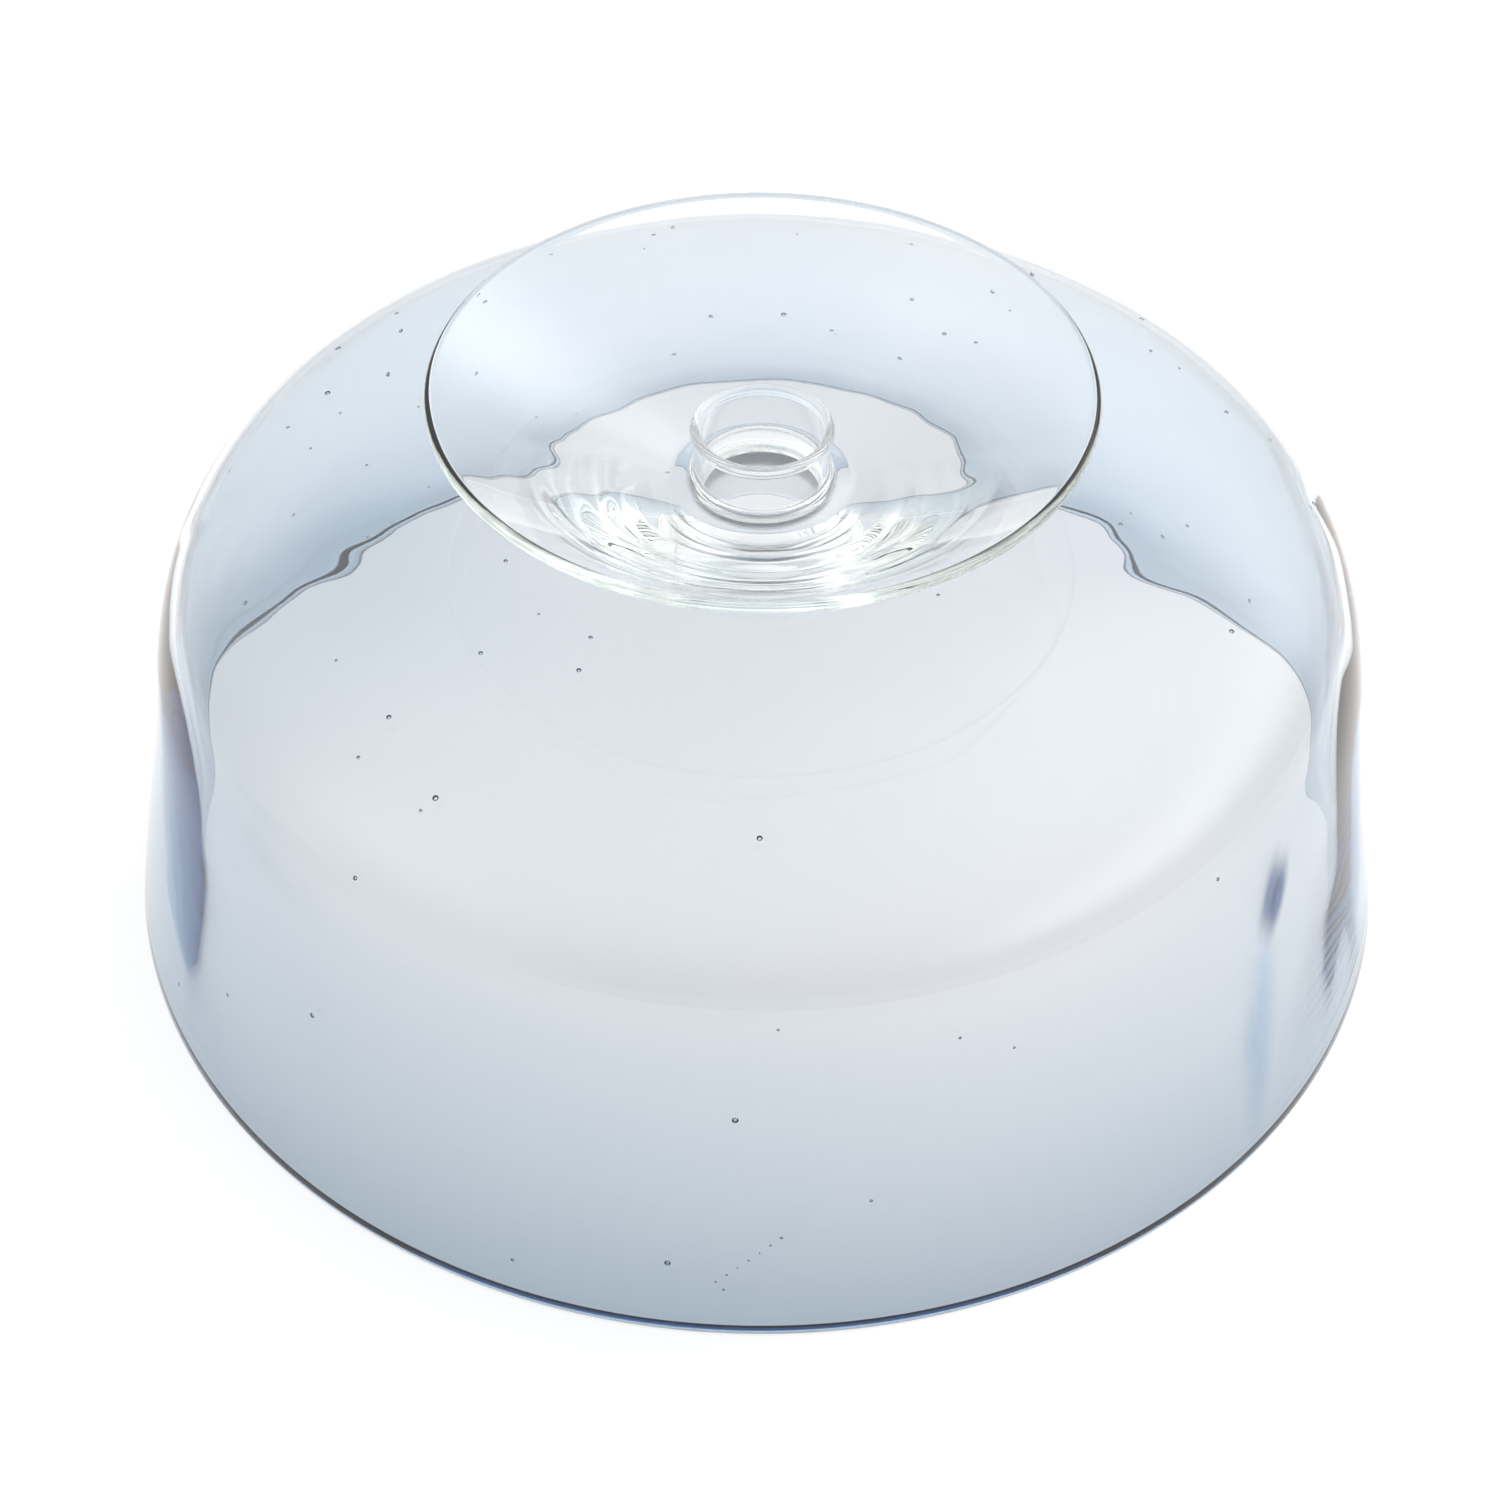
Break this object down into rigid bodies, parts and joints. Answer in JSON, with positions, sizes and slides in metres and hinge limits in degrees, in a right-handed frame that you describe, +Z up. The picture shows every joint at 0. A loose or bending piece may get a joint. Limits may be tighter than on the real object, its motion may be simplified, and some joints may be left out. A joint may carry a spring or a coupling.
{
  "type": "bell jar dome",
  "caption": "Low round blown-glass display dome, pale blue-grey, open at the rim, with a loose clear saucer lid and a short hollow neck to lift it by.",
  "frame": {"origin": "centre of the ground rim, on the surface that the dome stands on", "axes": "+Z up along the dome's axis of revolution; X and Y lie in the plane of the rim and are interchangeable"},
  "size_m": [0.3, 0.3, 0.1399],
  "materials": {
    "tinted_glass": "polished hand-blown glass, pale blue-grey",
    "clear_glass": "polished clear glass, faintly green at the edge",
    "neck_glass": "fire-polished clear glass tube"
  },
  "bodies": {
    "dome": {"dome_shell": "tinted_glass"},
    "lid": {"lid_saucer": "clear_glass", "neck_tube": "neck_glass"}
  },
  "joints": [
    {"name": "lid_lift", "type": "slide", "parent": "dome", "child": "lid", "axis": [0, 0, 1], "range_m": [0, 0.1]}
  ]
}
